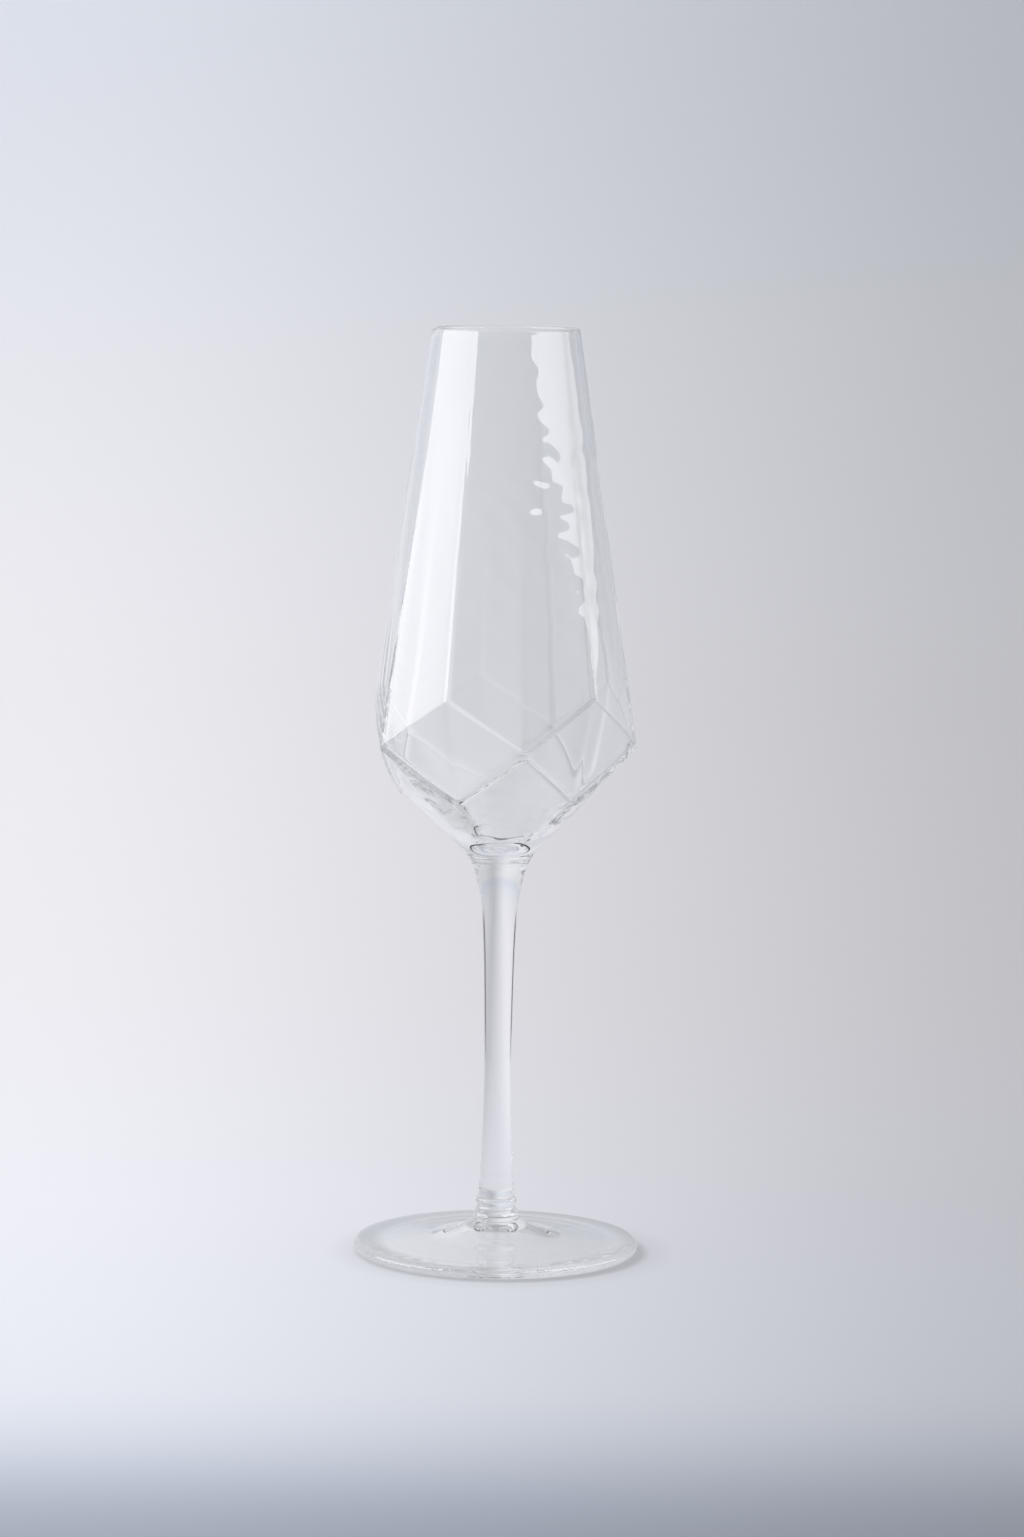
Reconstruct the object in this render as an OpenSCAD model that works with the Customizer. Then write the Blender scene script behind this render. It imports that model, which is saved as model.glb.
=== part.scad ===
// Champagne glass of clear blown glass: a tall bowl with a belt of diamond facets
// round its belly, a drawn stem and a round foot, joined hot at two flat seams.
// Millimetres, +Z up, origin on the table under the middle of the foot.

/* [Bowl] */
// Height from the table to the rim
glass_h = 240; // [215:1:265]
// Outer diameter of the rim
rim_d = 38; // [34:0.5:44]
// Outer diameter over the belt corners, the widest points of the bowl
belt_d = 70; // [66:0.5:74]
// Height of the belt corners above the table
belt_z = 133.3; // [130:0.1:140]
// Number of diamond facets round the belly
facet_count = 5; // [4:1:8]
// Rise of a diamond from its side corners to its upper tip
facet_rise = 13.4; // [8:0.2:18]
// Drop of a diamond from its side corners to its lower tip
facet_drop = 14; // [8:0.2:16]
// Outer diameter over the lower tips of the diamonds
lower_tip_d = 52.4; // [48:0.2:56]
// Swell of the facet edges, from straight chords (0) to round (1)
edge_swell = 0.3; // [0:0.05:0.6]
// Height of the seam between bowl and stem above the table
bowl_seam_z = 104.4; // [100:0.2:106]

/* [Wall] */
// Wall thickness at the rim
rim_wall = 1.3; // [1:0.1:1.8]
// Wall thickness round the belly
belly_wall = 2.2; // [1.6:0.1:2.6]
// Thickness of the solid glass under the bowl's floor
floor_t = 2.6; // [2:0.1:4.5]

/* [Stem] */
// Diameter of the stem at the seam under the bowl
stem_top_d = 17.6; // [15:0.2:20]
// Diameter of the stem at its waist, the narrowest place
waist_d = 7; // [6:0.1:8.5]
// Height of the waist above the table
waist_z = 50; // [40:1:65]
// Diameter of the stem at the seam on the foot
stem_foot_d = 9.5; // [9:0.1:11]

/* [Foot] */
// Diameter of the foot
foot_d = 74; // [66:0.5:82]
// Thickness of the foot at its rounded edge
foot_edge_t = 3.2; // [2.4:0.1:4]
// Spread of the boss that carries the stem, from the seam out to its foot
boss_spread = 1.25; // [0.8:0.05:1.8]
// Height of the seam between stem and foot above the table
foot_seam_z = 14.3; // [12:0.1:17]
// Width of the flat ring that rests on the table
rest_ring_w = 6; // [4:0.5:10]
// Thickness of the glass between the skirt and the hollow under it
foot_wall = 3.4; // [2.6:0.1:3.4]

/* [Smoothness] */
// Columns of the bowl's surface in each facet
facet_steps = 10; // [6:2:16]
// Segments of each drawn curve of the stem and foot
curve_steps = 12; // [8:1:18]

/* [Hidden] */

glass_colour = [0.87, 0.90, 0.93, 0.45];
$fn = 84;

// The belt: the upper surface is a cone from the rim to the belt corners, and the
// upper tips of the diamonds lie on it.
belt_r = belt_d / 2;
rim_r = rim_d / 2;
upper_tip_z = belt_z + facet_rise;
lower_tip_z = belt_z - facet_drop;
cone_slope = (belt_r - rim_r) / (glass_h - belt_z);
upper_tip_r = rim_r + cone_slope * (glass_h - upper_tip_z);
corner_h = 0.8;
half_facet = 180 / facet_count;
columns = facet_count * facet_steps;

// Where the lower facets run out into the round neck, outside and inside
neck_spread = 2.8;
neck_rise = 2.8;
neck_r = stem_top_d / 2 + neck_spread;
neck_z = bowl_seam_z + neck_rise;
inner_neck_inset = 2.6;
inner_neck_rise = 3.4;
inner_neck_r = neck_r - inner_neck_inset;
inner_neck_z = neck_z + inner_neck_rise;

// The small round floor within, and how far the well round it hangs below a chord
floor_r = 3.8;
floor_z = bowl_seam_z + floor_t;
well_bow = 0.08;

// A shell surface of the bowl is named by its upper tips, belt corners and lower tips,
// each [radius, height], then by its swell and its rim radius.
outer_shell = [
    [upper_tip_r, upper_tip_z],
    [belt_r, belt_z],
    [lower_tip_d / 2, lower_tip_z],
    edge_swell,
    rim_r
];
// Steps from the outer to the inner shell, [inwards, upwards], in wall thicknesses
upper_tip_inset = [-1.12, 0.27];
corner_inset = [-1.05, 0.43];
lower_tip_inset = [-0.95, 0.73];
inner_shell = [
    outer_shell[0] + belly_wall * upper_tip_inset,
    outer_shell[1] + belly_wall * corner_inset,
    outer_shell[2] + belly_wall * lower_tip_inset,
    edge_swell,
    rim_r - rim_wall
];

function mix(a, b, t) = a + (b - a) * t;

// Angle from the nearest upper tip, 0 at the tip and half_facet at a belt corner
function tip_angle(a) = abs(a - 2 * half_facet * floor(a / (2 * half_facet)) - half_facet);

// Share of the way along a straight edge from a tip of radius ra to a corner of radius rb
function edge_share(ra, rb, q) = ra * sin(q) / (ra * sin(q) + rb * sin(half_facet - q));

// Radius on that edge, swollen towards the round
function edge_radius(ra, rb, q, swell) =
    mix(ra * rb * sin(half_facet) / (ra * sin(q) + rb * sin(half_facet - q)),
        mix(ra, rb, q / half_facet), swell);

// Point [radius, height] of the zigzag edge between a row of tips and the belt corners
function zigzag(tip, corner, lift, swell, q) = [
    edge_radius(tip[0], corner[0], q, swell),
    mix(tip[1], corner[1] + lift, edge_share(tip[0], corner[0], q))
];
function upper_edge(shell, q) = zigzag(shell[0], shell[1], corner_h / 2, shell[3], q);
function lower_edge(shell, q) = zigzag(shell[2], shell[1], -corner_h / 2, shell[3], q);

// Point on the upper wall, from the zigzag edge (0) to the rim (1): the flats that the
// diamonds press into the wall fade out into the round cone above them.
function upper_wall(shell, q, s) =
    let (edge = upper_edge(shell, q),
         rim = [shell[4], glass_h - rim_wall / 2],
         corner = shell[1],
         z = mix(edge[1], rim[1], s),
         slope = (corner[0] - rim[0]) / (rim[1] - corner[1]),
         dent = rim[0] + slope * (rim[1] - edge[1]) - edge[0])
    [rim[0] + slope * (rim[1] - z) - dent * pow(1 - s, 3), z];

// Rows of one shell from the neck up to the rim, each a point for the angle q
lower_rows = [1/3, 2/3, 1];
upper_rows = [0, 0.06, 0.16, 0.32, 0.6, 1];
function shell_column(shell, neck, q) = concat(
    [for (t = lower_rows) mix(neck, lower_edge(shell, q), t)],
    [for (s = upper_rows) upper_wall(shell, q, s)]
);

// The fire-polished rim is a half round from the outer wall to the inner wall
rim_turns = [30, 60, 90, 120, 150];
function rim_round() = [
    for (turn = rim_turns)
        [rim_r - rim_wall / 2 * (1 - cos(turn)), glass_h - rim_wall / 2 * (1 - sin(turn))]
];

function reversed(list) = [for (i = [len(list) - 1 : -1 : 0]) list[i]];

// The whole outline of the bowl at the angle q, from its seam round the rim to its floor
function bowl_column(q) = concat(
    [[stem_top_d / 2, bowl_seam_z]],
    [[neck_r, neck_z]],
    shell_column(outer_shell, [neck_r, neck_z], q),
    rim_round(),
    reversed(shell_column(inner_shell, [inner_neck_r, inner_neck_z], q)),
    [[inner_neck_r, inner_neck_z]],
    [[mix(floor_r, inner_neck_r, 0.5), mix(floor_z, inner_neck_z, 0.5 - well_bow)]],
    [[floor_r, floor_z]]
);

// Round loft of the columns, closed by the seam face below and the floor within
module bowl() {
    rings = [
        for (i = [0 : columns - 1])
            let (a = 360 * i / columns)
            [for (p = bowl_column(tip_angle(a))) [p[0] * sin(a), -p[0] * cos(a), p[1]]]
    ];
    rows = len(rings[0]);
    points = [for (ring = rings) each ring];
    function at(i, j) = (i % columns) * rows + j;
    walls = [
        for (i = [0 : columns - 1], j = [0 : rows - 2])
            each [
                [at(i, j), at(i, j + 1), at(i + 1, j + 1)],
                [at(i, j), at(i + 1, j + 1), at(i + 1, j)]
            ]
    ];
    seam_face = [for (i = [0 : columns - 1]) at(i, 0)];
    floor_face = [for (i = [columns - 1 : -1 : 0]) at(i, rows - 1)];
    color(glass_colour)
        polyhedron(points, concat(walls, [seam_face, floor_face]), convexity = 6);
}

// Points of a cubic curve from its first control point to its last
function curve(c, steps = curve_steps) = [
    for (i = [0 : steps])
        let (t = i / steps, u = 1 - t)
        u * u * u * c[0] + 3 * u * u * t * c[1] + 3 * u * t * t * c[2] + t * t * t * c[3]
];

// Points of an arc of radius r round the centre c
function arc(c, r, from, to) = [
    for (i = [0 : curve_steps])
        let (a = mix(from, to, i / curve_steps))
        c + r * [cos(a), sin(a)]
];

// Every point of an outline but its first, to follow one that ends there
function after_first(list) = [for (i = [1 : len(list) - 1]) list[i]];

// Middle control points of the stem's two curves, each [step out from the waist, share of
// the way from the waist to the seam]
trumpet_bend = [[0.65, 0.72], [0.74, 0.87]];
swell_bend = [[0, 0.16], [0.19, 0.59]];

// Outline of the stem from its waist to a seam
function stem_curve(bend, seam_d, seam_z) = curve([
    [waist_d / 2, waist_z],
    [waist_d / 2 + bend[0][0], mix(waist_z, seam_z, bend[0][1])],
    [waist_d / 2 + bend[1][0], mix(waist_z, seam_z, bend[1][1])],
    [seam_d / 2, seam_z]
]);

// Drawn stem: a trumpet under the bowl, a slender waist and a slow swell to the foot
module stem() {
    color(glass_colour)
        rotate_extrude()
            polygon(concat(
                [[0, bowl_seam_z]],
                reversed(stem_curve(trumpet_bend, stem_top_d, bowl_seam_z)),
                after_first(stem_curve(swell_bend, stem_foot_d, foot_seam_z)),
                [[0, foot_seam_z]]
            ));
}

// Outer end and height of the skirt, where it runs out into the disc
skirt_r = 0.46 * foot_d / 2;
skirt_rise = 1.1;
skirt_z = foot_edge_t + skirt_rise;

// Control points of the boss, each [share of its spread, share of its height above the
// skirt's end]: a bead under the seam, the side below a groove, and the crease at its foot
bead_bend = [[0, 1], [0.57, 0.99], [0.45, 0.86], [0.16, 0.79]];
side_bend = [[0.16, 0.79], [0.14, 0.69], [1.15, 0.63], [1, 0.43]];
crease_bend = [[1, 0.43], [0.98, 0.395], [1.2, 0.38], [1.8, 0.35]];
// The same for the skirt, each [share of the way out from the crease, share of the height]
skirt_bend = [[0, 0.35], [0.2, 0.25], [0.55, 0.04], [1, 0]];
// And for the dome of the hollow, each [share of its radius, share of its rise]
dome_bend = [[1, 0], [0.7, 0.75], [0.4, 1], [0, 1]];
dome_rise = 1;

function boss_r(share) = stem_foot_d / 2 + share * boss_spread;
function boss_z(share) = mix(skirt_z, foot_seam_z, share);
function boss_points(bend) = [for (b = bend) [boss_r(b[0]), boss_z(b[1])]];

// Round foot: a beaded boss on a hollow-cheeked skirt, which runs out into a thin disc with
// a rounded edge, resting on a flat ring round a hollow that follows the skirt
module foot() {
    short_steps = ceil(curve_steps / 3);
    half_steps = ceil(curve_steps / 2);
    edge_r = foot_edge_t / 2;
    disc_r = foot_d / 2 - edge_r;
    hollow_r = disc_r - rest_ring_w;
    crease_r = boss_r(crease_bend[3][0]);
    skirt_points = [for (b = skirt_bend) [mix(crease_r, skirt_r, b[0]), boss_z(b[1])]];
    skirt = curve(skirt_points, half_steps);
    dome_z = skirt[0][1] - foot_wall;
    dome = [for (b = dome_bend) [b[0] * crease_r, dome_z + b[1] * dome_rise]];
    color(glass_colour)
        rotate_extrude()
            polygon(concat(
                [[0, foot_seam_z]],
                curve(boss_points(bead_bend), short_steps),
                after_first(curve(boss_points(side_bend), short_steps)),
                after_first(curve(boss_points(crease_bend), short_steps)),
                after_first(skirt),
                arc([disc_r, edge_r], edge_r, 90, -90),
                [[hollow_r, 0]],
                [for (p = reversed(skirt)) p - [0, foot_wall]],
                after_first(curve(dome, short_steps))
            ));
}

bowl();
stem();
foot();
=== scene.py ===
"""A champagne glass of clear blown glass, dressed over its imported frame, with a pale studio round it."""
import math
from collections import namedtuple

import bmesh
import bpy
from bpy.props import FloatProperty, FloatVectorProperty, IntProperty, PointerProperty
from mathutils import Matrix, Vector, noise


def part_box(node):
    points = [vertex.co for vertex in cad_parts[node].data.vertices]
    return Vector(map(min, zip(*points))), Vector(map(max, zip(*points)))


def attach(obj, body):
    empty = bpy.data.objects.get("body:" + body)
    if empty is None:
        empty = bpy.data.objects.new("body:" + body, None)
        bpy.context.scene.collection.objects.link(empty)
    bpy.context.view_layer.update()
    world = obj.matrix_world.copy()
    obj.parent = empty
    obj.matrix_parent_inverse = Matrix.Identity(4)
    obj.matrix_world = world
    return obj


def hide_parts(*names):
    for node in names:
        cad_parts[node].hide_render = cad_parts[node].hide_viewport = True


bl_info = {
    "name": "Champagne Glass",
    "version": (1, 0, 0),
    "blender": (4, 5, 0),
    "location": "View3D > Sidebar > Glass",
    "description": "Models a faceted champagne glass and the pale studio it stands in",
    "category": "Add Mesh",
}

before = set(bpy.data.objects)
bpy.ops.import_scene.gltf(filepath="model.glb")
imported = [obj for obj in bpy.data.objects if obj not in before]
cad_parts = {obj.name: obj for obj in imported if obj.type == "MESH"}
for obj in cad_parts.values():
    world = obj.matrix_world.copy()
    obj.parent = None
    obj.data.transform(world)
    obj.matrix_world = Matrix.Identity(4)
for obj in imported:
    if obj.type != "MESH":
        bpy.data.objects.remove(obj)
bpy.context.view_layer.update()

MM = 0.001
BODY = "root"

BOWL_LOW, BOWL_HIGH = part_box("bowl")
STEM_LOW, STEM_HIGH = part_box("stem")
FOOT_LOW, FOOT_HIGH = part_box("foot")

# Fineness of the meshes: columns in each half facet, columns of the turned pieces, and rows
HALF_FACET_COLUMNS = 24
TURNED_COLUMNS = 240
CURVE_ROWS = 24
SEAM_ROWS = 6
NECK_ROWS = 9
RIM_ROWS = 14
WELL_ROWS = 24
FLOOR_ROWS = 6
FOOT_TOP_ROWS = 30
FOOT_HOLLOW_ROWS = 20
# Rounds of smoothing that let the inner wall flow over the lower facet edges, the strength of each,
# and the share of the diamonds up to which it does
INNER_FLOW = 6
INNER_FLOW_STEP = 0.5
INNER_FLOW_END = 0.7

# Closest that two points, the ends of a sliver and the points of the sweep may lie, and how near a
# face has to be to a seam's height to lie on it
MERGE_GAP = 1e-7
SLIVER_GAP = 1e-8
SWEEP_GAP = 1e-6
SEAM_GAP = 1e-6

# Bounces that light may make inside the thick glass before it is given up
LIGHT_BOUNCES = 128

# Photograph frame in pixels
IMAGE_W = 1024
IMAGE_H = 1537


class GlassSizes(bpy.types.PropertyGroup):
    """Sizes of the glass; the frame gives those that it holds."""

    glass_h: FloatProperty(
        name="Height", description="Height from the table to the rim",
        default=BOWL_HIGH.z, unit="LENGTH")
    rim_d: FloatProperty(
        name="Rim diameter", description="Outer diameter of the rim",
        default=38 * MM, unit="LENGTH")
    rim_wall: FloatProperty(
        name="Rim wall", description="Wall thickness at the rim",
        default=1.3 * MM, unit="LENGTH")
    belly_wall: FloatProperty(
        name="Belly wall", description="Wall thickness round the belly",
        default=2.2 * MM, unit="LENGTH")
    belt_d: FloatProperty(
        name="Belt diameter", description="Outer diameter over the belt corners",
        default=70 * MM, unit="LENGTH")
    belt_z: FloatProperty(
        name="Belt height", description="Height of the belt corners above the table",
        default=133.3 * MM, unit="LENGTH")
    facet_count: IntProperty(
        name="Facets", description="Number of diamond facets round the belly", default=5, min=4)
    facet_rise: FloatProperty(
        name="Facet rise", description="Rise of a diamond from its side corners to its upper tip",
        default=13.4 * MM, unit="LENGTH")
    facet_drop: FloatProperty(
        name="Facet drop", description="Drop of a diamond from its side corners to its lower tip",
        default=14 * MM, unit="LENGTH")
    lower_tip_d: FloatProperty(
        name="Lower tip diameter", description="Outer diameter over the diamonds' lower tips",
        default=52.4 * MM, unit="LENGTH")
    edge_swell: FloatProperty(
        name="Edge swell", description="Swell of the facet edges from straight to round",
        default=0.3, subtype="FACTOR", min=0.0, max=1.0)
    bowl_seam_z: FloatProperty(
        name="Bowl seam height", description="Height of the seam between bowl and stem",
        default=BOWL_LOW.z, unit="LENGTH")
    floor_t: FloatProperty(
        name="Floor thickness", description="Solid glass under the bowl's floor",
        default=2.6 * MM, unit="LENGTH")
    stem_top_d: FloatProperty(
        name="Stem top diameter", description="Diameter of the stem at the seam under the bowl",
        default=STEM_HIGH.x - STEM_LOW.x, unit="LENGTH")
    waist_d: FloatProperty(
        name="Waist diameter", description="Diameter of the stem at its narrowest place",
        default=7 * MM, unit="LENGTH")
    waist_z: FloatProperty(
        name="Waist height", description="Height of the narrowest place of the stem",
        default=50 * MM, unit="LENGTH")
    stem_foot_d: FloatProperty(
        name="Stem foot diameter", description="Diameter of the stem at the seam on the foot",
        default=9.5 * MM, unit="LENGTH")
    foot_d: FloatProperty(
        name="Foot diameter", description="Diameter of the foot",
        default=FOOT_HIGH.x - FOOT_LOW.x, unit="LENGTH")
    foot_edge_t: FloatProperty(
        name="Foot edge", description="Thickness of the foot at its rounded edge",
        default=3.2 * MM, unit="LENGTH")
    boss_spread: FloatProperty(
        name="Boss spread", description="Spread of the boss that carries the stem, out to its foot",
        default=1.25 * MM, unit="LENGTH")
    foot_seam_z: FloatProperty(
        name="Foot seam height", description="Height of the seam between stem and foot",
        default=FOOT_HIGH.z, unit="LENGTH")
    rest_ring_w: FloatProperty(
        name="Resting ring", description="Width of the flat ring that rests on the table",
        default=6 * MM, unit="LENGTH")
    foot_wall: FloatProperty(
        name="Foot wall", description="Thickness of the glass between the skirt and the hollow under it",
        default=3.4 * MM, unit="LENGTH")


class GlassFinish(bpy.types.PropertyGroup):
    """Marks of the hand on the glass, and its colour."""

    tint: FloatVectorProperty(
        name="Tint", description="Colour of the clear glass",
        default=(0.985, 0.988, 0.99), subtype="COLOR", min=0.0, max=1.0)
    refraction: FloatProperty(
        name="Refraction", description="Refractive index of the glass", default=1.51, min=1.0)
    flow_depth: FloatProperty(
        name="Flow depth", description="Depth of the slow waves along the blown wall",
        default=0.07 * MM, unit="LENGTH")
    ripple_depth: FloatProperty(
        name="Ripple depth", description="Depth of the short ripples over the wall",
        default=0.018 * MM, unit="LENGTH")
    dapple_depth: FloatProperty(
        name="Dapple depth", description="Depth of the fine dapples on one side of the wall",
        default=0.085 * MM, unit="LENGTH")
    streak_depth: FloatProperty(
        name="Streak depth", description="Depth of the fine upright streaks in the wall",
        default=0.006 * MM, unit="LENGTH")
    chill_depth: FloatProperty(
        name="Chill depth", description="Depth of the level ripples low inside the bowl",
        default=0.1 * MM, unit="LENGTH")
    foot_flow: FloatProperty(
        name="Foot flow", description="Depth of the slow waves over the top of the foot",
        default=0.008 * MM, unit="LENGTH")
    mould_line: FloatProperty(
        name="Mould line", description="Height of the two fine lines that the mould leaves",
        default=0.05 * MM, unit="LENGTH")


class StudioSettings(bpy.types.PropertyGroup):
    """Place and lens of the camera that took the photograph."""

    azimuth: FloatProperty(
        name="Camera azimuth", description="Turn of the camera round the glass",
        default=math.radians(-10.5), subtype="ANGLE")
    distance: FloatProperty(
        name="Camera distance", description="Level distance from the glass to the camera",
        default=1.291, unit="LENGTH")
    height: FloatProperty(
        name="Camera height", description="Height of the camera above the table",
        default=0.2804, unit="LENGTH")
    side_step: FloatProperty(
        name="Side step", description="Step of the camera to its right",
        default=0.0028, unit="LENGTH")
    pitch: FloatProperty(
        name="Pitch", description="Downward tilt of the camera",
        default=math.radians(6.796), subtype="ANGLE")
    roll: FloatProperty(
        name="Roll", description="Turn of the camera about its own line of sight",
        default=math.radians(0.687), subtype="ANGLE")
    focal_px: FloatProperty(
        name="Focal length", description="Focal length in pixels of the photograph frame",
        default=5036.9)


# Outlines of the glass

def mix(a, b, t):
    return a + (b - a) * t


def spaced(count, start=0.0, end=1.0):
    """Even steps from start to end, both included."""
    return [mix(start, end, i / (count - 1)) for i in range(count)]


def curve(controls, rows=CURVE_ROWS):
    """Points of a cubic curve through (radius, height) control points."""
    a, b, c, d = (Vector(p) for p in controls)
    points = []
    for t in spaced(rows):
        u = 1 - t
        points.append(a * u ** 3 + b * 3 * u * u * t + c * 3 * u * t * t + d * t ** 3)
    return points


def arc(centre, radius, start, end, rows=CURVE_ROWS):
    """Points of an arc round a (radius, height) centre, between two angles in degrees."""
    turns = [math.radians(a) for a in spaced(rows, start, end)]
    return [Vector(centre) + Vector((math.cos(a), math.sin(a))) * radius for a in turns]


def straight(start, end, rows):
    """Points along a straight stretch of an outline."""
    return [Vector(start).lerp(Vector(end), t) for t in spaced(rows)]


def azimuth_of(co):
    """Angle round the axis, 0 on the -Y side, where a belt corner is."""
    return math.atan2(co.x, -co.y)


def at_azimuth(azimuth, radius, height):
    return Vector((radius * math.sin(azimuth), -radius * math.cos(azimuth), height))


# The bowl's wall: an outer and an inner shell, each named by its tips and corners

Shell = namedtuple("Shell", "upper_tip corner lower_tip swell rim_r neck_r neck_z")
CORNER_H = 0.8 * MM
# Steps from the outer to the inner shell in shares of the belly wall, each (inwards, upwards)
UPPER_TIP_INSET = (1.12, 0.27)
CORNER_INSET = (1.05, 0.43)
LOWER_TIP_INSET = (0.95, 0.73)
FLOOR_R = 2.4 * MM
# How hollow the well round the floor is, 1 for a plain cone
WELL_HOLLOW = 1.6
# Where the lower facets run out into the round neck, outside and inside
NECK_SPREAD = 2.8 * MM
NECK_RISE = 2.8 * MM
INNER_NECK_INSET = 2.6 * MM
INNER_NECK_RISE = 3.4 * MM
# How fast the edges between the lower facets round off on their way to the neck
RUN_OUT = 0.25


def half_facet(sizes):
    return math.pi / sizes.facet_count


def outer_shell(sizes):
    belt_r = sizes.belt_d / 2
    rim_r = sizes.rim_d / 2
    tip_z = sizes.belt_z + sizes.facet_rise
    slope = (belt_r - rim_r) / (sizes.glass_h - sizes.belt_z)
    return Shell(
        upper_tip=(rim_r + slope * (sizes.glass_h - tip_z), tip_z),
        corner=(belt_r, sizes.belt_z),
        lower_tip=(sizes.lower_tip_d / 2, sizes.belt_z - sizes.facet_drop),
        swell=sizes.edge_swell,
        rim_r=rim_r,
        neck_r=sizes.stem_top_d / 2 + NECK_SPREAD,
        neck_z=sizes.bowl_seam_z + NECK_RISE,
    )


def inner_shell(sizes):
    outer = outer_shell(sizes)
    wall = sizes.belly_wall

    def inset(point, steps):
        return (point[0] - wall * steps[0], point[1] + wall * steps[1])

    return Shell(
        upper_tip=inset(outer.upper_tip, UPPER_TIP_INSET),
        corner=inset(outer.corner, CORNER_INSET),
        lower_tip=inset(outer.lower_tip, LOWER_TIP_INSET),
        swell=sizes.edge_swell,
        rim_r=outer.rim_r - sizes.rim_wall,
        neck_r=outer.neck_r - INNER_NECK_INSET,
        neck_z=outer.neck_z + INNER_NECK_RISE,
    )


def tip_angle(azimuth, half):
    """Angle from the nearest upper tip, 0 at a tip and half at a belt corner."""
    return abs(azimuth % (2 * half) - half)


def softened(q, half, roundness):
    """The same angle with its turns at tip and corner rounded off, 0 for none."""
    return half / math.pi * math.acos((1 - roundness) * math.cos(math.pi * q / half))


def zigzag(tip, corner, lift, swell, q, half):
    """Point (radius, height) of the edge from a tip to a belt corner, at the angle q."""
    near = tip[0] * math.sin(q)
    far = corner[0] * math.sin(half - q)
    chord = tip[0] * corner[0] * math.sin(half) / (near + far)
    radius = mix(chord, mix(tip[0], corner[0], q / half), swell)
    return radius, mix(tip[1], corner[1] + lift, near / (near + far))


def shell_point(shell, sizes, section, t, q):
    """Point (radius, height) of a shell: t runs up each section of the wall."""
    half = half_facet(sizes)
    if section == "lower":
        q = softened(q, half, RUN_OUT * (1 - t))
    upper = zigzag(shell.upper_tip, shell.corner, CORNER_H / 2, shell.swell, q, half)
    lower = zigzag(shell.lower_tip, shell.corner, -CORNER_H / 2, shell.swell, q, half)
    if section == "lower":
        return mix(shell.neck_r, lower[0], t), mix(shell.neck_z, lower[1], t)
    if section == "diamond":
        return mix(lower[0], upper[0], t), mix(lower[1], upper[1], t)
    rim_z = sizes.glass_h - sizes.rim_wall / 2
    slope = (shell.corner[0] - shell.rim_r) / (rim_z - shell.corner[1])
    dent = shell.rim_r + slope * (rim_z - upper[1]) - upper[0]
    z = mix(upper[1], rim_z, t)
    return shell.rim_r + slope * (rim_z - z) - dent * (1 - t) ** 3, z


# Shares of the rows up each section of the two shells, closest together at the crisp upper edge
OUTER_ROWS = {
    "lower": spaced(18, 0.0, 0.94),
    "diamond": spaced(18, 0.0, 0.93) + [0.965, 0.985, 0.994],
    "upper": [0.0, 0.0016, 0.004, 0.009, 0.016] + spaced(130, 0.024, 1.0),
}
INNER_ROWS = {
    "lower": spaced(30, 0.0, 0.97),
    "diamond": spaced(13, 0.0, 0.86) + [0.93, 0.972, 0.99],
    "upper": [0.0, 0.003, 0.008, 0.016] + spaced(22, 0.028, 0.3) + spaced(34, 0.32, 1.0),
}
# Rows along the lower edges of the diamonds, which stay crisp
CRISP_ROWS = {("outer diamond", 0.0)}


def shell_rows(side, sections):
    """Every row up one side of the wall, as its named section and its share."""
    return [(side + " " + part, t) for part, shares in sections.items() for t in shares]


def flows_round(row):
    """Whether a row is low enough inside for the facet edges to flow round there."""
    section, t = row
    return section in ("inner lower", "well") or (section == "inner diamond" and t < INNER_FLOW_END)


def bowl_rows():
    """Every row of the bowl's skin, from the seam's middle round the rim to the floor's middle."""
    outside = [("seam", t) for t in spaced(SEAM_ROWS)]
    outside += [("neck", t) for t in spaced(NECK_ROWS)[1:-1]]
    outside += shell_rows("outer", OUTER_ROWS)
    rim = [("rim", t) for t in spaced(RIM_ROWS)[1:-1]]
    inside = shell_rows("inner", INNER_ROWS)[::-1]
    floor = [("well", t) for t in spaced(WELL_ROWS)[1:]]
    floor += [("floor", t) for t in spaced(FLOOR_ROWS)[1:]]
    return outside + rim + inside + floor


MOULD_LINE_W = 0.35 * MM
# Waves of the wall, each (length across the axis, length along it, own seed)
FLOW_WAVE = (11 * MM, 38 * MM, 0)
RIPPLE_WAVE = (9 * MM, 6 * MM, 3)
STREAK_WAVE = (2.5 * MM, 22 * MM, 6)
CHILL_WAVE = (15 * MM, 2.4 * MM, 9)
DAPPLE_WAVE = (4.5 * MM, 4 * MM, 12)
OUTER_SEED = 1.7
INNER_SEED = 5.3
# How much further apart the seeds lie along the axis
SEED_SPREAD = 7
# Heights over which the marks fade out above the seam and below the rim
SEAM_FADE = 7 * MM
RIM_FADE = 8 * MM
# Share of the short marks left on the facets, and the height over which they come back above
FACET_CALM = 0.15
CALM_FADE = 8 * MM
# Side of the dapples, and where they start above the upper tips and end below the rim
DAPPLED_SIDE = math.radians(25)
DAPPLE_START = (8 * MM, 24 * MM)
DAPPLE_END = (12 * MM, 34 * MM)
# Heights above the seam between which the level ripples fade out
CHILL_REACH = (28 * MM, 14 * MM)


def slow_wave(co, wave, seed=0.0):
    """Smooth waviness in -1 to 1 with the given lengths across and along the axis."""
    across, along, own_seed = wave
    seed += own_seed
    return noise.noise(Vector((co.x / across + seed, co.y / across - seed,
                               co.z / along + SEED_SPREAD * seed)))


def share_between(value, low, high):
    """0 at low, 1 at high, held at these beyond."""
    return min(1.0, max(0.0, (value - low) / (high - low)))


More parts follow.
